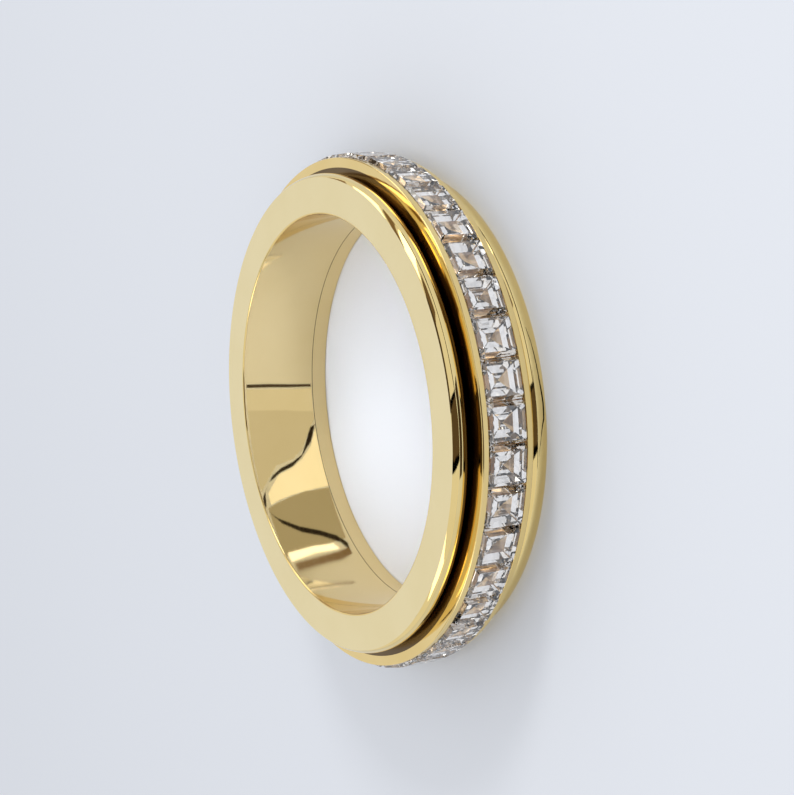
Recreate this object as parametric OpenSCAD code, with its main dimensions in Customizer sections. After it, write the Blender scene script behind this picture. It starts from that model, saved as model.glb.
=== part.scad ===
// Spinner ring: a bored tube with a flange at each end, and between the flanges
// a band of square stones in a channel that turns freely on the tube.
// The ring lies on its side. Z is the ring's axis, and z = 0 is the resting face.

/* [Finger] */
// Inside diameter of the ring (a US size 8)
finger_d = 18.1; // [14:0.1:23]
// Wall of the tube under the spinning band
tube_wall = 0.7; // [0.6:0.05:1]
// Rounding of the bore's edge at both side faces
bore_edge = 0.08; // [0.05:0.01:0.3]

/* [Flanges] */
// Width of the polished flange along the ring's axis
flange_w = 0.85; // [0.8:0.01:1.4]
// Width of the cap ring, the other flange, along the ring's axis
cap_w = 0.95; // [0.8:0.01:1.4]
// Radial width from the bore to the edge of the flat side face
face_w = 1.64; // [1.4:0.01:1.7]
// Radial height from the bore to the crest of the domed rim
flange_h = 1.81; // [1.76:0.01:2.2]
// Distance from the flat side face to the crest of the rim
rim_crest = 0.37; // [0.3:0.01:0.5]

/* [Pressed cap] */
// Length of the tube's end that sits inside the cap ring
spigot_h = 0.19; // [0.1:0.01:0.4]
// Clearance at the tube's end, which shows as the seam in the bore
seam_gap = 0.03; // [0.01:0.01:0.06]
// Radial clearance between the tube's end and the cap ring
press_gap = 0.02; // [0.01:0.01:0.05]

/* [Spinner band] */
// Radial clearance between the race and the band
race_clear = 0.08; // [0.02:0.01:0.1]
// Mean clearance along the axis between a flange and the band
side_gap = 0.17; // [0.05:0.01:0.3]
// Share of that clearance by which the band stands nearer to the polished flange
band_slide = 0.5; // [0:0.05:0.8]
// Metal under the stones' channel
band_floor = 0.35; // [0.3:0.05:0.8]
// Width of each rail beside the channel
rail_w = 0.25; // [0.15:0.01:0.5]
// Height of the rails above the stones' girdles
rail_rise = 0.19; // [0.12:0.01:0.3]
// Chamfer along the outer edge of each rail
rail_edge = 0.04; // [0.01:0.01:0.08]
// Reach of each rail's lip over the stones
lip_w = 0.04; // [0.02:0.01:0.1]
// Width of the slanted seat under the stones
seat_w = 0.12; // [0.05:0.01:0.2]

/* [Stones] */
// Number of stones round the band
stone_count = 40; // [30:1:44]
// Width of a stone along the ring's axis as a multiple of its side round the ring
stone_stretch = 1.09; // [1:0.01:1.2]
// Gap between one stone and the next at the girdle
stone_gap = 0.03; // [0.01:0.01:0.08]
// Clearance between a stone and the channel's wall
stone_fit = 0.02; // [0.01:0.01:0.05]
// Thickness of the girdle
girdle_h = 0.06; // [0.03:0.01:0.12]
// Height of the crown above the girdle
crown_h = 0.34; // [0.3:0.01:0.5]
// Depth of the pavilion below the girdle
pavilion_h = 1; // [0.9:0.01:1.3]
// Room between the stones' points and the channel's floor
culet_gap = 0.1; // [0.05:0.01:0.3]
// Cut across each corner of a stone
corner_cut = 0.06; // [0.02:0.01:0.15]
// Side of the table as a share of the stone's side
table_share = 0.82; // [0.7:0.01:0.84]

/* [Hidden] */
stone_names = [for (i = [1 : stone_count]) str("stone_", i < 10 ? "0" : "", i)];
$fn = 180;
cut = 1; // how far a cutting shape runs past the surface that it cuts

gold = [0.87, 0.79, 0.58];
band_gold = [0.82, 0.68, 0.36];
crystal = [0.9, 0.92, 0.95];

// Radii, built outwards from the finger.
bore_r = finger_d / 2;
race_r = bore_r + tube_wall;
crest_r = bore_r + flange_h;
band_r = race_r + race_clear;
floor_r = band_r + band_floor;
girdle_r = floor_r + culet_gap + pavilion_h;
girdle_top_r = girdle_r + girdle_h;
rail_r = girdle_top_r + rail_rise;

// The stones' side follows from how many fill the circle.
pitch = 360 / stone_count;
stone_side = 2 * girdle_r * tan(pitch / 2) - stone_gap;
half = stone_side / 2;
half_w = half * stone_stretch;

// Heights along the axis, built upwards from the resting face.
band_w = 2 * (half_w + stone_fit + rail_w);
band_z = cap_w + side_gap * (1 + band_slide);
stones_z = band_z + band_w / 2;
ring_w = band_w + flange_w + cap_w + 2 * side_gap;
seam_z = cap_w - spigot_h;

// The rim's arc passes through the face's edge and the crest, and it is always
// wide enough to reach the inner side of a flange of width w.
rim_sag = flange_h - face_w;
function rim_r(w) = max((rim_crest * rim_crest + rim_sag * rim_sag) / (2 * rim_sag), w - rim_crest);

// The stones are cut in steps. Each row is a level of the pavilion: its size as
// a share of the girdle's, and its depth as a share of the pavilion.
PAVILION_STEPS = [[0.80, 0.36], [0.48, 0.72]];
CROWN_BREAK_SIDE = 0.92;
CROWN_BREAK_HEIGHT = 0.5;
seat_drop = seat_w * PAVILION_STEPS[0][1] * pavilion_h / (half_w * (1 - PAVILION_STEPS[0][0]));

// The stones are flat, so their ends stand a little further out than their
// middles, and the lips begin beyond those ends.
lip_r = norm([girdle_top_r, half]);
lip_rise = lip_w * CROWN_BREAK_HEIGHT * crown_h / (half_w * (1 - CROWN_BREAK_SIDE));

// Half section of a flange of width w, its flat face on z = 0 and its rim domed.
module flange_section(w) {
    intersection() {
        translate([bore_r, 0])
            square([flange_h, w]);
        union() {
            translate([bore_r, 0])
                square([flange_h - rim_r(w), w]);
            translate([crest_r - rim_r(w), rim_crest])
                circle(r = rim_r(w));
        }
    }
}

// What the rounding takes off the bore's edge at z = 0.
module bore_edge_cut() {
    difference() {
        translate([bore_r - cut, -cut])
            square([cut + bore_edge, cut + bore_edge]);
        translate([bore_r + bore_edge, bore_edge])
            circle(r = bore_edge);
    }
}

// Tube, race and the flange with the polished face, turned from one piece.
module base_band() {
    color(gold)
        rotate_extrude()
            difference() {
                union() {
                    translate([bore_r, seam_z + seam_gap])
                        square([tube_wall, ring_w - flange_w / 2 - seam_z - seam_gap]);
                    translate([0, ring_w])
                        mirror([0, 1])
                            flange_section(flange_w);
                }
                translate([0, ring_w])
                    mirror([0, 1])
                        bore_edge_cut();
            }
}

// Second flange, pressed on the end of the tube.
module cap_ring() {
    color(gold)
        rotate_extrude()
            difference() {
                flange_section(cap_w);
                bore_edge_cut();
                translate([bore_r - cut, seam_z])
                    square([cut + tube_wall + press_gap, spigot_h + cut]);
            }
}

// Section of the stones' channel, cut into the band from outside.
module channel_section() {
    wall = half_w + stone_fit;
    polygon([
        [floor_r, wall - seat_w],
        [girdle_r - seat_drop, wall - seat_w],
        [girdle_r, wall],
        [lip_r, wall],
        [lip_r + lip_rise, wall - lip_w],
        [rail_r + cut, wall - lip_w],
        [rail_r + cut, lip_w - wall],
        [lip_r + lip_rise, lip_w - wall],
        [lip_r, -wall],
        [girdle_r, -wall],
        [girdle_r - seat_drop, seat_w - wall],
        [floor_r, seat_w - wall]
    ]);
}

// Band that turns on the race, with two rails and the channel between them.
module spinner_band() {
    color(band_gold)
        translate([0, 0, stones_z])
            rotate_extrude()
                difference() {
                    polygon([
                        [band_r, -band_w / 2],
                        [rail_r - rail_edge, -band_w / 2],
                        [rail_r, rail_edge - band_w / 2],
                        [rail_r, band_w / 2 - rail_edge],
                        [rail_r - rail_edge, band_w / 2],
                        [band_r, band_w / 2]
                    ]);
                    channel_section();
                }
}

// Eight corners of the stone's outline at height z, scaled by share.
function outline(share, z) = [
    for (k = [0 : 3])
        for (s = [-1, 1])
            let (x = half * share, y = s * (half - corner_cut) * share)
                [(x * cos(90 * k) - y * sin(90 * k)) * stone_stretch, x * sin(90 * k) + y * cos(90 * k), z]
];

// Facets between two outlines of eight points, the upper one starting at point a.
function step_faces(a) = [for (i = [0 : 7]) [a + i, a + (i + 1) % 8, a + 8 + (i + 1) % 8, a + 8 + i]];

// Cut stone with its girdle's lower edge on z = 0, its table up, and its longer
// side along x.
module stone_shape() {
    points = concat(
        outline(table_share, girdle_h + crown_h),
        outline(CROWN_BREAK_SIDE, girdle_h + crown_h * CROWN_BREAK_HEIGHT),
        outline(1, girdle_h),
        outline(1, 0),
        [for (step = PAVILION_STEPS) each outline(step[0], -step[1] * pavilion_h)],
        [[0, 0, -pavilion_h]]
    );
    last = len(points) - 9;
    faces = concat(
        [[7, 6, 5, 4, 3, 2, 1, 0]],
        [for (a = [0 : 8 : last - 8]) each step_faces(a)],
        [for (i = [0 : 7]) [last + i, last + (i + 1) % 8, last + 8]]
    );
    polyhedron(points = points, faces = faces);
}

// Stone number i in its place in the channel, with its table facing outwards.
module stone(i) {
    color(crystal)
        rotate([0, 0, (i - 1) * pitch])
            translate([girdle_r, 0, stones_z])
                rotate([0, 90, 0])
                    stone_shape();
}

base_band();
cap_ring();
spinner_band();
for (i = [1 : stone_count])
    stone(i);
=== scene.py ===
import math

import bpy
from mathutils import Matrix, Vector


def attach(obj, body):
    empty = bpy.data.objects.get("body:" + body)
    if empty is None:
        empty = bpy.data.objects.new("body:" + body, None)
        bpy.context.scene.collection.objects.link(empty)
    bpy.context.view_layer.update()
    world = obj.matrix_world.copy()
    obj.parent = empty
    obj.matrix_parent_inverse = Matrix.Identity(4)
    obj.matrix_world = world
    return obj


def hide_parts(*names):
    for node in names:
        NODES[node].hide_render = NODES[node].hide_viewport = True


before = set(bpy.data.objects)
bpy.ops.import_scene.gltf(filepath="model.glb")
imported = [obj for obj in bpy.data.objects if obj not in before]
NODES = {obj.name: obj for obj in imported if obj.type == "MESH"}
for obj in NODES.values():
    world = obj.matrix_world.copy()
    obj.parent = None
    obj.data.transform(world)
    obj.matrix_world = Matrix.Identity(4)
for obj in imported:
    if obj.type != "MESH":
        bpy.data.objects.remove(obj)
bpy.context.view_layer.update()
MM = 0.001

# Sizes of the CAD in millimetres, with the names that part.scad gives them.
BORE_R, TUBE_WALL, BORE_EDGE = 9.05, 0.7, 0.08
FLANGE_W, CAP_W, FACE_W, FLANGE_H, RIM_CREST = 0.85, 0.95, 1.64, 1.81, 0.37
SPIGOT_H, SEAM_GAP, PRESS_GAP = 0.19, 0.03, 0.02
RACE_CLEAR, SIDE_GAP, BAND_SLIDE, BAND_FLOOR = 0.08, 0.17, 0.5, 0.35
RAIL_W, RAIL_RISE, RAIL_EDGE, LIP_W, SEAT_W = 0.25, 0.19, 0.04, 0.04, 0.12
STONE_COUNT, STONE_STRETCH, STONE_GAP, STONE_FIT = 40, 1.09, 0.03, 0.02
GIRDLE_H, CROWN_H, PAVILION_H, CULET_GAP = 0.06, 0.34, 1.0, 0.1
PAVILION_SIDE, PAVILION_DEPTH = 0.80, 0.36
CROWN_BREAK_SIDE, CROWN_BREAK_HEIGHT = 0.92, 0.5

# Sizes that follow from them.
RACE_R = BORE_R + TUBE_WALL
CREST_R = BORE_R + FLANGE_H
BAND_R = RACE_R + RACE_CLEAR
FLOOR_R = BAND_R + BAND_FLOOR
GIRDLE_R = FLOOR_R + CULET_GAP + PAVILION_H
GIRDLE_TOP_R = GIRDLE_R + GIRDLE_H
RAIL_R = GIRDLE_TOP_R + RAIL_RISE
HALF = GIRDLE_R * math.tan(math.pi / STONE_COUNT) - STONE_GAP / 2
HALF_W = HALF * STONE_STRETCH
WALL = HALF_W + STONE_FIT
BAND_W = 2 * (HALF_W + STONE_FIT + RAIL_W)
BAND_Z = CAP_W + SIDE_GAP * (1 + BAND_SLIDE)
STONES_Z = BAND_Z + BAND_W / 2
RING_W = BAND_W + FLANGE_W + CAP_W + 2 * SIDE_GAP
SEAM_Z = CAP_W - SPIGOT_H
SAG = FLANGE_H - FACE_W
SEAT_DROP = SEAT_W * PAVILION_DEPTH * PAVILION_H / (HALF_W * (1 - PAVILION_SIDE))
LIP_R = math.hypot(GIRDLE_TOP_R, HALF)
LIP_RISE = LIP_W * CROWN_BREAK_HEIGHT * CROWN_H / (HALF_W * (1 - CROWN_BREAK_SIDE))

# How finely the turned pieces are drawn.
SEGMENTS = 480               # sides round the ring
RIM_STEPS = 48               # sides along a flange's dome
EDGE_STEP = 9                # degrees per side on the bore's rounded edge
CORNER_STEP = 12             # degrees per side on a rounded corner
STRAIGHT = math.radians(86)  # half of the angle from which a corner counts as straight
CORNER_SHARE = 0.48          # most of a side that a rounded corner takes
SMOOTH = math.radians(28)    # sides that meet at less than this are shaded as one
MUCH_LONGER = 4              # how many times longer a side is to keep its own normal

# Roundings of the spinner band that the CAD leaves sharp, and the radius below
# which its sides get a nearly black gold: painted shade of the groove.
RAIL_ROUND = RAIL_EDGE * 1.4
BAND_ROUND, LIP_ROUND, LIP_TOP_ROUND = 0.03, 0.01, 0.02
GROOVE_SHADE_R = 11.08


def link(obj):
    bpy.context.scene.collection.objects.link(obj)
    return obj


def rounded(corners):
    """A closed section with its corners rounded. Each corner is (r, z, radius);
    the result is a list of (r, z)."""
    out = []
    for i, (r, z, rad) in enumerate(corners):
        p = Vector((r, z))
        a = Vector(corners[i - 1][:2]) - p
        b = Vector(corners[(i + 1) % len(corners)][:2]) - p
        half = a.angle(b) / 2
        if rad <= 0 or half > STRAIGHT:
            out.append((p.x, p.y))
            continue
        back = min(rad / math.tan(half), CORNER_SHARE * a.length, CORNER_SHARE * b.length)
        rad = back * math.tan(half)
        a.normalize()
        b.normalize()
        centre = p + (a + b).normalized() * (rad / math.sin(half))
        start, end = p + a * back - centre, p + b * back - centre
        sweep = start.angle_signed(end)
        steps = max(2, int(abs(math.degrees(sweep)) / CORNER_STEP))
        for k in range(steps + 1):
            t = -sweep * k / steps
            c, s = math.cos(t), math.sin(t)
            v = centre + Vector((start.x * c - start.y * s, start.x * s + start.y * c))
            out.append((v.x, v.y))
    return out


def section_normals(pts):
    """The normals at the two ends of each side of a closed section, and 1 or -1
    for the section's sense. Sides that meet nearly in line share a normal, or
    take that of a much longer one."""
    n = len(pts)
    sides = []
    for i in range(n):
        d = Vector(pts[(i + 1) % n]) - Vector(pts[i])
        sides.append((Vector((d.y, -d.x)).normalized(), d.length))
    area = sum(pts[i][0] * pts[(i + 1) % n][1] - pts[(i + 1) % n][0] * pts[i][1]
               for i in range(n))
    sense = 1 if area > 0 else -1
    ends = []
    for i in range(n):
        own, length = sides[i]
        pair = []
        for j in (i - 1, (i + 1) % n):
            other, other_length = sides[j]
            if own.angle(other) > SMOOTH or length > MUCH_LONGER * other_length:
                normal = own
            elif other_length > MUCH_LONGER * length:
                normal = other
            else:
                normal = (own + other).normalized()
            pair.append(normal * sense)
        ends.append(pair)
    return ends, sense


def turned(name, pts, body, node, materials, pick):
    """A solid of revolution about Z from a closed section in millimetres. pick
    gives the material's place in the list from a side's middle and normal."""
    n = len(pts)
    ends, sense = section_normals(pts)
    verts, faces, normals, slots = [], [], [], []
    turns = [2 * math.pi * k / SEGMENTS for k in range(SEGMENTS)]
    ring = [(math.cos(t), math.sin(t)) for t in turns]
    for r, z in pts:
        verts += [(r * c * MM, r * s * MM, z * MM) for c, s in ring]
    for i in range(n):
        j = (i + 1) % n
        n0, n1 = ends[i]
        middle = ((pts[i][0] + pts[j][0]) / 2, (pts[i][1] + pts[j][1]) / 2)
        slot = pick(middle, n0)
        for k in range(SEGMENTS):
            m = (k + 1) % SEGMENTS
            quad = [(i, k, n0), (j, k, n1), (j, m, n1), (i, m, n0)]
            if sense > 0:
                quad.reverse()
            faces.append([point * SEGMENTS + turn for point, turn, _ in quad])
            for _, turn, normal in quad:
                c, s = ring[turn]
                normals.append((normal.x * c, normal.x * s, normal.y))
            slots.append(slot)
    me = bpy.data.meshes.new(name)
    me.from_pydata(verts, [], faces)
    for material in materials:
        me.materials.append(material)
    me.polygons.foreach_set("material_index", slots)
    me.polygons.foreach_set("use_smooth", [True] * len(faces))
    me.update()
    me.normals_split_custom_set(normals)
    obj = link(bpy.data.objects.new(name, me))
    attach(obj, body)
    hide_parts(node)
    return obj


# Materials.
def new_material(name):
    material = bpy.data.materials.new(name)
    material.use_nodes = True
    tree = material.node_tree
    return material, tree.nodes, tree.links, tree.nodes["Principled BSDF"]


def object_coords(nodes):
    return nodes.new("ShaderNodeTexCoord").outputs["Object"]


def math_node(nodes, links, operation, *inputs):
    node = nodes.new("ShaderNodeMath")
    node.operation = operation
    for socket, value in zip(node.inputs, inputs):
        if isinstance(value, float):
            socket.default_value = value
        else:
            links.new(value, socket)
    return node.outputs[0]


def polar_coords(nodes, links, around, across):
    """Coordinates that run round the ring's axis, so that marks left by turning
    and polishing follow the metal: (angle * around, radius * across, z * across)."""
    place = object_coords(nodes)
    split = nodes.new("ShaderNodeSeparateXYZ")
    links.new(place, split.inputs[0])
    angle = math_node(nodes, links, "ARCTAN2", split.outputs["Y"], split.outputs["X"])
    flat = nodes.new("ShaderNodeVectorMath")
    flat.operation = "MULTIPLY"
    flat.inputs[1].default_value = (1, 1, 0)
    links.new(place, flat.inputs[0])
    radius = nodes.new("ShaderNodeVectorMath")
    radius.operation = "LENGTH"
    links.new(flat.outputs["Vector"], radius.inputs[0])
    joined = nodes.new("ShaderNodeCombineXYZ")
    parts = ((angle, around), (radius.outputs["Value"], across), (split.outputs["Z"], across))
    for socket, (source, factor) in zip(joined.inputs, parts):
        links.new(math_node(nodes, links, "MULTIPLY", source, factor), socket)
    return joined.outputs[0]


def noise(nodes, links, vector, scale, detail, rough):
    node = nodes.new("ShaderNodeTexNoise")
    node.inputs["Scale"].default_value = scale
    node.inputs["Detail"].default_value = detail
    node.inputs["Roughness"].default_value = rough
    links.new(vector, node.inputs["Vector"])
    return node.outputs["Fac"]


def map_range(nodes, links, value, low, high, to_low, to_high):
    node = nodes.new("ShaderNodeMapRange")
    node.inputs["From Min"].default_value = low
    node.inputs["From Max"].default_value = high
    node.inputs["To Min"].default_value = to_low
    node.inputs["To Max"].default_value = to_high
    links.new(value, node.inputs["Value"])
    return node.outputs["Result"]


LINES_AROUND, LINES_ACROSS = 3.0, 30000.0
HAZE_SCALE, DUST_SCALE = 260.0, 900.0
LINE_DEPTH = 0.00002
STONE_TINT = (1.0, 0.965, 0.92)
STONE_IOR = 2.15


def polished_gold(name, colour, tint, rough, scratch=1.0):
    """Plated and polished metal: a faint drift in the plating's colour, fine
    polishing lines round the ring, and slightly hazy patches from handling."""
    material, nodes, links, bsdf = new_material(name)
    bsdf.inputs["Metallic"].default_value = 1.0
    around = polar_coords(nodes, links, LINES_AROUND, LINES_ACROSS)
    lines = noise(nodes, links, around, 1.0, 3.0, 0.6)
    haze = noise(nodes, links, object_coords(nodes), HAZE_SCALE, 3.0, 0.55)
    mix = nodes.new("ShaderNodeMix")
    mix.data_type = "RGBA"
    mix.inputs["A"].default_value = (*colour, 1)
    mix.inputs["B"].default_value = (*tint, 1)
    links.new(map_range(nodes, links, haze, 0.3, 0.7, 0.0, 1.0), mix.inputs["Factor"])
    links.new(mix.outputs["Result"], bsdf.inputs["Base Color"])
    hazy = map_range(nodes, links, haze, 0.35, 0.7, rough, rough * 1.5)
    lined = map_range(nodes, links, lines, 0.3, 0.75, 0.0, rough * 0.8 * scratch)
    links.new(math_node(nodes, links, "ADD", hazy, lined), bsdf.inputs["Roughness"])
    bump = nodes.new("ShaderNodeBump")
    bump.inputs["Strength"].default_value = 0.03 * scratch
    bump.inputs["Distance"].default_value = LINE_DEPTH
    links.new(lines, bump.inputs["Height"])
    links.new(bump.outputs["Normal"], bsdf.inputs["Normal"])
    return material


def crystal(name):
    """Clear cut stone with a little dust on it."""
    material, nodes, links, bsdf = new_material(name)
    bsdf.inputs["Transmission Weight"].default_value = 1.0
    bsdf.inputs["IOR"].default_value = STONE_IOR
    bsdf.inputs["Base Color"].default_value = (*STONE_TINT, 1)
    dust = noise(nodes, links, object_coords(nodes), DUST_SCALE, 2.0, 0.5)
    links.new(map_range(nodes, links, dust, 0.55, 0.8, 0.0, 0.05), bsdf.inputs["Roughness"])
    return material


GOLD = polished_gold("gold_polished", (0.90, 0.71, 0.32), (0.86, 0.66, 0.27), 0.03)
GOLD_BORE = polished_gold("gold_bore", (0.92, 0.74, 0.40), (0.88, 0.70, 0.36), 0.04)
GOLD_FACE = polished_gold("gold_side_face", (0.92, 0.79, 0.46), (0.89, 0.755, 0.42), 0.09, 1.3)
GOLD_BAND = polished_gold("gold_spinner", (0.90, 0.70, 0.32), (0.85, 0.64, 0.26), 0.035)
GOLD_CHANNEL = polished_gold("gold_channel", (0.95, 0.78, 0.55), (0.90, 0.70, 0.45), 0.12)
# Nearly black gold for the groove's sides: painted shade, not the metal's own colour.
GOLD_GROOVE_SHADE = polished_gold("gold_groove_painted_shade", (0.17, 0.11, 0.045), (0.12, 0.075, 0.03), 0.10)
# Dark brown gold on the inner sides between the parts: painted shade, on a rougher unpolished
# finish.
GOLD_INNER_SHADE = polished_gold("gold_unpolished_painted_shade", (0.30, 0.21, 0.08), (0.18, 0.12, 0.05), 0.25)
CRYSTAL = crystal("crystal_clear")


# The two flanges.
NEAR = 0.001   # closer than this is the same place
FLAT = 0.999   # a normal's share along the axis on a flat side face
RING_METALS = [GOLD, GOLD_FACE, GOLD_INNER_SHADE, GOLD_BORE]


def flange(width):
    """Outer part of a flange's section from the bore's edge to its inner side,
    for a flange whose flat face looks down."""
    rim_r = max((RIM_CREST ** 2 + SAG ** 2) / (2 * SAG), width - RIM_CREST)
    pts = []
    for degrees in range(0, 91, EDGE_STEP):
        a = math.radians(degrees)
        pts.append((BORE_R + BORE_EDGE * (1 - math.cos(a)), BORE_EDGE * (1 - math.sin(a))))
    start = math.asin(min(1, RIM_CREST / rim_r))
    end = math.asin(min(1, (width - RIM_CREST) / rim_r))
    for k in range(RIM_STEPS + 1):
        a = -start + (start + end) * k / RIM_STEPS
        pts.append((CREST_R - rim_r + rim_r * math.cos(a), RIM_CREST + rim_r * math.sin(a)))
    return pts


def ring_metal(middle, normal):
    r, z = middle
    if abs(normal.y) > FLAT and (z < NEAR or z > RING_W - NEAR):
        return RING_METALS.index(GOLD_FACE)
    if r < BORE_R + 0.01:
        return RING_METALS.index(GOLD_BORE)
    # The flanges' inner sides and the race between them take the dark gold: painted shade.
    between = CAP_W - 2 * NEAR <= z <= RING_W - FLANGE_W + 2 * NEAR
    if between and RACE_R - NEAR <= r < CREST_R - 0.4:
        return RING_METALS.index(GOLD_INNER_SHADE)
    return RING_METALS.index(GOLD)


base_pts = [(BORE_R, SEAM_Z + SEAM_GAP)]
base_pts += [(r, RING_W - z) for r, z in flange(FLANGE_W)]
base_pts += [(RACE_R, RING_W - FLANGE_W), (RACE_R, SEAM_Z + SEAM_GAP)]
cap_pts = flange(CAP_W)
cap_pts += [(RACE_R + PRESS_GAP, CAP_W), (RACE_R + PRESS_GAP, SEAM_Z), (BORE_R, SEAM_Z)]
base = turned("base_band_turned", base_pts, "band", "base_band", RING_METALS, ring_metal)
cap = turned("cap_ring_turned", cap_pts, "band", "cap_ring", RING_METALS, ring_metal)


# The spinner band.
SPINNER_METALS = [GOLD_BAND, GOLD_INNER_SHADE, GOLD_CHANNEL, GOLD_GROOVE_SHADE]
low_wall, high_wall = STONES_Z - WALL, STONES_Z + WALL
low_side, high_side = BAND_Z, BAND_Z + BAND_W
band_pts = rounded([
    (BAND_R, low_side, BAND_ROUND),
    (GROOVE_SHADE_R, low_side, 0),
    (RAIL_R, low_side, RAIL_ROUND),
    (RAIL_R, low_wall + LIP_W, LIP_TOP_ROUND),
    (LIP_R + LIP_RISE, low_wall + LIP_W, LIP_ROUND),
    (LIP_R, low_wall, 0),
    (GIRDLE_R, low_wall, 0),
    (GIRDLE_R - SEAT_DROP, low_wall + SEAT_W, 0),
    (FLOOR_R, low_wall + SEAT_W, 0),
    (FLOOR_R, high_wall - SEAT_W, 0),
    (GIRDLE_R - SEAT_DROP, high_wall - SEAT_W, 0),
    (GIRDLE_R, high_wall, 0),
    (LIP_R, high_wall, 0),
    (LIP_R + LIP_RISE, high_wall - LIP_W, LIP_ROUND),
    (RAIL_R, high_wall - LIP_W, LIP_TOP_ROUND),
    (RAIL_R, high_side, RAIL_ROUND),
    (GROOVE_SHADE_R, high_side, 0),
    (BAND_R, high_side, BAND_ROUND),
])


def spinner_metal(middle, normal):
    r, z = middle
    off = abs(z - STONES_Z)
    # The band's inside against the race takes the dark gold: painted shade.
    if r < BAND_R + 0.02:
        return SPINNER_METALS.index(GOLD_INNER_SHADE)
    # The groove's sides below that radius: painted shade.
    if r < GROOVE_SHADE_R and abs(off - BAND_W / 2) < 0.02:
        return SPINNER_METALS.index(GOLD_GROOVE_SHADE)
    if off < WALL + NEAR and r < LIP_R:
        return SPINNER_METALS.index(GOLD_CHANNEL)
    return SPINNER_METALS.index(GOLD_BAND)


band = turned("spinner_band_turned", band_pts, "spinner", "spinner_band",
              SPINNER_METALS, spinner_metal)

# The stones are the CAD's own solids.
for name, node in NODES.items():
    if name.startswith("stone_"):
        node.data.materials.clear()
        node.data.materials.append(CRYSTAL)
        node.data.polygons.foreach_set("use_smooth", [False] * len(node.data.polygons))


# The stage. PHASE turns it and the camera together about the ring's axis.
PHASE = math.radians(-3.26)
SKY_DIST = 250.0
TABLE_Z = 0.03
BROWN = (1.0, 0.7, 0.45)
WARM, WARM_PALE = (1, 0.97, 0.9), (1, 0.98, 0.94)
CREAM, STRAW, OLIVE = (1, 0.97, 0.88), (1, 0.96, 0.85), (1, 0.92, 0.72)
WHITE = (1, 1, 1)
BLACK = 0.0


def staged(x, y, z):
    """A point of the stage in metres, from millimetres."""
    c, s = math.cos(PHASE), math.sin(PHASE)
    return (x * c - y * s) * MM, (x * s + y * c) * MM, z * MM


def card(name, rows, level, colour=WHITE, through=True):
    """A sheet that only mirrors see, and stones too if through is true. Each row
    is one rung of points in millimetres, and the rungs are joined into a strip.
    level is its brightness."""
    me = bpy.data.meshes.new(name)
    n = len(rows[0])
    verts = [staged(*point) for row in rows for point in row]
    me.from_pydata(verts, [], [(n * i + j, n * i + j + 1, n * i + n + j + 1, n * i + n + j)
                               for i in range(len(rows) - 1) for j in range(n - 1)])
    material = bpy.data.materials.new(name)
    material.use_nodes = True
    tree = material.node_tree
    tree.nodes.clear()
    glow = tree.nodes.new("ShaderNodeEmission")
    glow.inputs["Color"].default_value = (*colour, 1)
    glow.inputs["Strength"].default_value = level
    out = tree.nodes.new("ShaderNodeOutputMaterial")
    tree.links.new(glow.outputs[0], out.inputs["Surface"])
    me.materials.append(material)
    obj = link(bpy.data.objects.new(name, me))
    obj.visible_camera = False
    obj.visible_diffuse = False
    obj.visible_shadow = False
    obj.visible_transmission = through


def sky(az, el, dist=SKY_DIST):
    """A point far off in the direction of an azimuth and an elevation in degrees."""
    a, e = math.radians(az), math.radians(el)
    return (dist * math.cos(e) * math.cos(a), dist * math.cos(e) * math.sin(a), dist * math.sin(e))


def sky_card(name, rows, level, colour):
    """A card whose rows are pairs of (azimuth, elevation)."""
    card(name, [(sky(*left), sky(*right)) for left, right in rows], level, colour)


def sky_line(name, points, width, level):
    """A ribbon across the sky through points of (azimuth, elevation), width in degrees."""
    rows = []
    for i, (az, el) in enumerate(points):
        a0, e0 = points[max(0, i - 1)]
        a1, e1 = points[min(len(points) - 1, i + 1)]
        k = math.cos(math.radians(el))
        dx, dy = (a1 - a0) * k, e1 - e0
        n = math.hypot(dx, dy)
        ox, oy = -dy / n * width / 2 / k, dx / n * width / 2
        rows.append((sky(az + ox, el + oy), sky(az - ox, el - oy)))
    card(name, rows, level)


def floor_line(name, points, width, level):
    """A ribbon just above the floor through points of (x, y), seen only in the metal."""
    rows = []
    for i, (x, y) in enumerate(points):
        x0, y0 = points[max(0, i - 1)]
        x1, y1 = points[min(len(points) - 1, i + 1)]
        n = math.hypot(x1 - x0, y1 - y0)
        ox, oy = -(y1 - y0) / n * width / 2, (x1 - x0) / n * width / 2
        rows.append(((x + ox, y + oy, TABLE_Z), (x - ox, y - oy, TABLE_Z)))
    card(name, rows, level, WHITE, False)


# Dark figures and bright windows of the room, for the outer gold and the stones.
sky_card("dark_figure", [((-22, 0), (2, 0)), ((-24, 20), (1, 20)), ((-29, 40), (-2, 40)),
                         ((-40, 60), (-6, 60))], 0.10, BROWN)
sky_line("figure_edge", [(2, 0), (-11, -1), (-23, 1), (-26, 20), (-32, 42), (-45, 62),
                         (-30, 68), (-5, 68)], 5.0, BLACK)
sky_line("figure_side", [(3, 0), (2, 20), (0, 40), (-4, 62)], 3.0, BLACK)
sky_card("dark_top", [((-8, 52), (-8, 76)), ((20, 50), (20, 74)), ((45, 44), (45, 70)),
                      ((62, 42), (62, 66))], 0.08, BROWN)
sky_line("dark_rail_low", [(80, 3), (60, 4), (45, 5), (28, 6), (2, 5)], 5.0, BLACK)
sky_card("dark_side", [((40, 22), (60, 22)), ((40, 46), (62, 46))], 0.16, BROWN)
sky_card("window_1", [((65, 8), (82, 8)), ((65, 44), (88, 44))], 3.0, WARM)
sky_card("dark_between", [((86, 8), (97, 8)), ((90, 56), (102, 56))], 0.22, BROWN)
sky_card("window_2", [((101, 14), (122, 14)), ((106, 50), (130, 50))], 2.6, WARM)
sky_card("dark_far", [((126, 8), (142, 8)), ((134, 56), (152, 56))], 0.3, BROWN)
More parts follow.
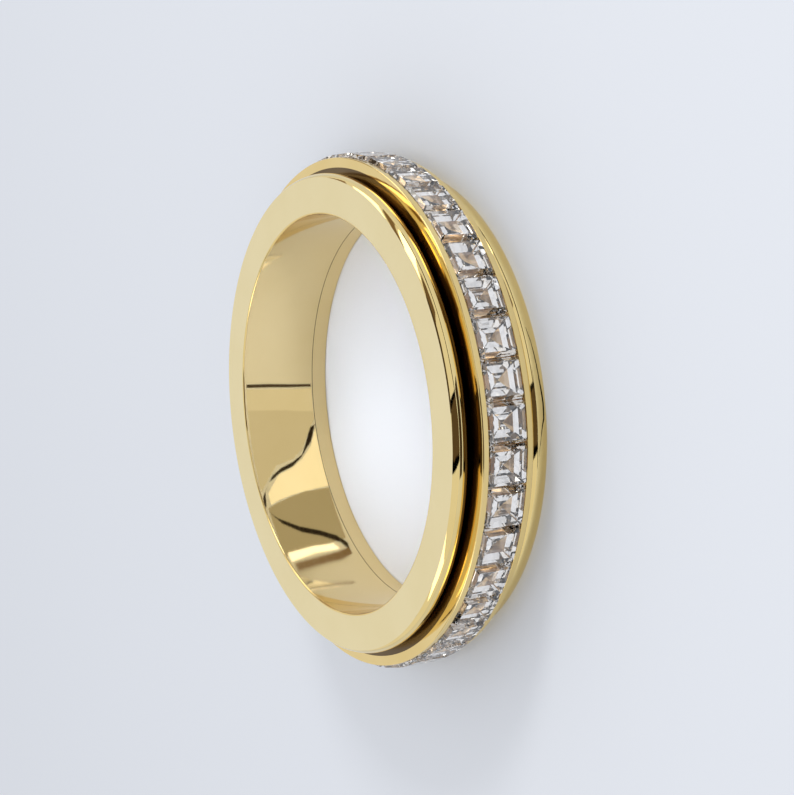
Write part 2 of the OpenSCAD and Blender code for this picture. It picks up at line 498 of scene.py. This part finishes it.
sky_card("window_3", [((-98, 18), (-74, 18)), ((-100, 50), (-76, 50))], 2.4, WARM_PALE)
sky_line("dark_corner", [(-135, 52), (-125, 40), (-118, 25)], 7, 0.05)

# What the bore mirrors: strips that stand inside it, seen only in the metal. A
# line lies a little further out than the shades, and the white patch furthest.
SHADE_R, LINE_R, PATCH_R = 7.6, 7.66, 7.68
RUNG_STEPS = 6


def bore_card(name, pairs, level, colour, r):
    """A strip on a cylinder inside the bore. Each row is the azimuth and height
    of its one edge, then of its other edge."""
    rows = []
    for a0, z0, a1, z1 in pairs:
        rung = []
        for k in range(RUNG_STEPS + 1):
            a = math.radians(a0 + (a1 - a0) * k / RUNG_STEPS)
            rung.append((r * math.cos(a), r * math.sin(a), z0 + (z1 - z0) * k / RUNG_STEPS))
        rows.append(rung)
    card(name, rows, level, colour, False)


bore_card("bore_line", [
    (169.6, 3.75, 170.5, 3.75), (170.1, 2.4, 171.0, 2.4), (170.7, 1.3, 171.5, 1.3),
    (171.2, 0.15, 171.9, 0.15)], 0.05, BROWN, LINE_R)
bore_card("bore_shade_high", [
    (171.0, 3.75, 176.5, 3.75), (171.5, 2.6, 177, 2.6), (171.9, 1.6, 177.5, 1.6),
    (172.2, 1.0, 178, 1.0), (172.4, 0.1, 178.5, 0.1)], 0.74, CREAM, SHADE_R)
bore_card("bore_shade_low", [
    (176.5, 3.75, 198.0, 3.75), (177, 2.6, 191.5, 2.6), (177.5, 1.6, 190.3, 1.6),
    (178, 1.0, 188.0, 1.0), (178.5, 0.1, 180.5, 0.1)], 0.64, STRAW, SHADE_R)
bore_card("bore_dark_1", [
    (182.0, 0.12, 182.6, 0.4), (186.2, 0.45, 187.2, 0.85), (189.2, 0.98, 190.4, 1.2),
    (191.2, 1.7, 192.4, 1.75), (192.4, 2.4, 193.6, 2.5), (194.2, 2.98, 195.8, 3.22),
    (198.0, 3.55, 199.5, 3.75), (202.0, 3.7, 202.8, 3.85)], 0.02, BROWN, LINE_R)
bore_card("bore_cream", [
    (183.0, 0.1, 198.6, -0.05), (187.4, 0.5, 198.8, 0.6), (190.6, 1.1, 199.2, 1.4),
    (192.6, 1.8, 199.8, 2.2), (194.0, 2.6, 200.6, 2.9), (198.5, 3.4, 201.6, 3.4)],
    1.12, CREAM, SHADE_R)
bore_card("bore_olive", [
    (199.0, -0.2, 213.0, 0.0), (199.2, 1.4, 214.0, 1.4), (200.2, 2.3, 214.6, 2.3),
    (201.4, 3.1, 215.0, 3.1), (202.4, 3.6, 215.4, 3.6)], 0.42, OLIVE, SHADE_R)
bore_card("bore_dark_2", [
    (203.0, 3.75, 204.0, 3.6), (205.6, 3.3, 207.2, 3.15), (208.6, 2.3, 210.2, 2.28),
    (210.4, 1.3, 212.0, 1.3), (212.4, 0.5, 214.4, 0.42), (214.6, 0.05, 216.8, 0.05)],
    0.02, BROWN, LINE_R)
bore_card("bore_white", [
    (215.3, 3.45, 217.6, 3.4), (214.5, 2.0, 216.4, 2.0), (214.6, 0.85, 216.2, 0.6)],
    1.8, WHITE, PATCH_R)
bore_card("bore_dark_3", [
    (217.8, 3.3, 219.6, 3.2), (217.2, 1.9, 219.0, 1.9), (216.6, 0.75, 218.6, 0.7),
    (216.0, 0.1, 217.6, 0.0)], 0.22, BROWN, LINE_R)

# A dark patch and a thin line beside the ring, which its rims mirror.
card("table_dark", [
    ((17.9, 2.5, TABLE_Z), (75, 6, TABLE_Z)), ((17.9, -2, TABLE_Z), (75, -8, TABLE_Z)),
    ((17.6, -5.2, TABLE_Z), (60, -24, TABLE_Z)), ((17, -7.4, TABLE_Z), (45, -27, TABLE_Z))],
    0.05, BROWN, False)
floor_line("rim_line", [
    (11.25, 3.1), (11.0, 2.3), (11.0, 0.5), (10.87, -0.5), (10.85, -1.2), (11.4, -2.5),
    (12.2, -3.6)], 0.12, BLACK)

# The pale floor and the even light of the room.
FLOOR_HALF = 1.2
FLOOR_COLOUR = (0.68, 0.705, 0.75)
ROOM_COLOUR, ROOM_LEVEL = (0.975, 0.98, 1.0), 0.84

floor_me = bpy.data.meshes.new("floor")
floor_me.from_pydata([(x * FLOOR_HALF, y * FLOOR_HALF, 0)
                      for x, y in ((-1, -1), (1, -1), (1, 1), (-1, 1))], [], [(0, 1, 2, 3)])
floor = link(bpy.data.objects.new("floor", floor_me))
floor_material, _, _, floor_bsdf = new_material("pale_floor")
floor_bsdf.inputs["Base Color"].default_value = (*FLOOR_COLOUR, 1)
floor_bsdf.inputs["Roughness"].default_value = 0.5
floor_bsdf.inputs["Specular IOR Level"].default_value = 0.0
floor_me.materials.append(floor_material)

world = bpy.data.worlds.new("studio")
bpy.context.scene.world = world
world.use_nodes = True
background = world.node_tree.nodes["Background"]
background.inputs["Color"].default_value = (*ROOM_COLOUR, 1)
background.inputs["Strength"].default_value = ROOM_LEVEL


# Lamps.
RING_MIDDLE = Vector((0, 0, 0.0023))


def lamp(name, az, el, dist, size, watts, spread=180):
    """A square soft light that the metal and the stones don't mirror, aimed at
    the ring. dist and size are in millimetres, spread in degrees."""
    light = bpy.data.lights.new(name, "AREA")
    light.shape = "RECTANGLE"
    light.size = size * MM
    light.size_y = size * MM
    light.energy = watts
    light.spread = math.radians(spread)
    obj = link(bpy.data.objects.new(name, light))
    obj.location = staged(*sky(az, el, dist))
    obj.rotation_mode = "QUATERNION"
    obj.rotation_quaternion = (obj.location - RING_MIDDLE).normalized().to_track_quat("Z", "Y")
    obj.visible_glossy = False
    obj.visible_transmission = False
    return obj


# A narrow light straight down through the ring lifts the floor in the hole.
HOLE_SHIFT = 0.0012
hole_fill = lamp("hole_fill", 180, 89, 220, 12, 0.00019, 4)
hole_fill.location.x -= HOLE_SHIFT
hole_fill.rotation_quaternion = (1, 0, 0, 0)
lamp("front", -5, 40, 300, 140, 0.24)
lamp("key", 70, 27, 300, 60, 0.26)

# The camera, as fitted to the photo's outlines: focal length in pixels of the
# photo's width, distance in millimetres from the middle of the upper side face,
# angle off the ring's axis, and the small turns that place the ring in the frame.
PHOTO_W, SENSOR_W = 794.0, 36.0
FOCAL_PX, CAMERA_DIST, OFF_AXIS = 1944.5, 88.0, 1.0976
PAN, TILT, ROLL = 0.0356, -0.0050, 0.1143


def turn(axis, angle):
    return Matrix.Rotation(angle, 3, axis)


outward = Vector((math.sin(OFF_AXIS), 0, math.cos(OFF_AXIS)))
right = (-outward).cross(Vector((0, 1, 0))).normalized()
up = right.cross(-outward)
view = turn("Z", ROLL) @ turn("X", TILT) @ turn("Y", PAN) @ Matrix((right, up, outward))
place = turn("Z", PHASE) @ (outward * CAMERA_DIST + Vector((0, 0, RING_W))) * MM
lens = bpy.data.cameras.new("camera")
lens.sensor_width = SENSOR_W
lens.lens = FOCAL_PX * SENSOR_W / PHOTO_W
lens.clip_start, lens.clip_end = 0.005, 5.0
camera = link(bpy.data.objects.new("camera", lens))
camera.matrix_world = (Matrix.Translation(place)
                       @ (turn("Z", PHASE) @ view.transposed()).to_4x4())

scene = bpy.context.scene
scene.camera = camera
scene.view_settings.view_transform = "Standard"
scene.view_settings.look = "None"
scene.cycles.use_denoising = True
scene.cycles.max_bounces = 20
scene.cycles.glossy_bounces = 10
scene.cycles.transmission_bounces = 16
scene.cycles.diffuse_bounces = 4
scene.cycles.sample_clamp_indirect = 6.0
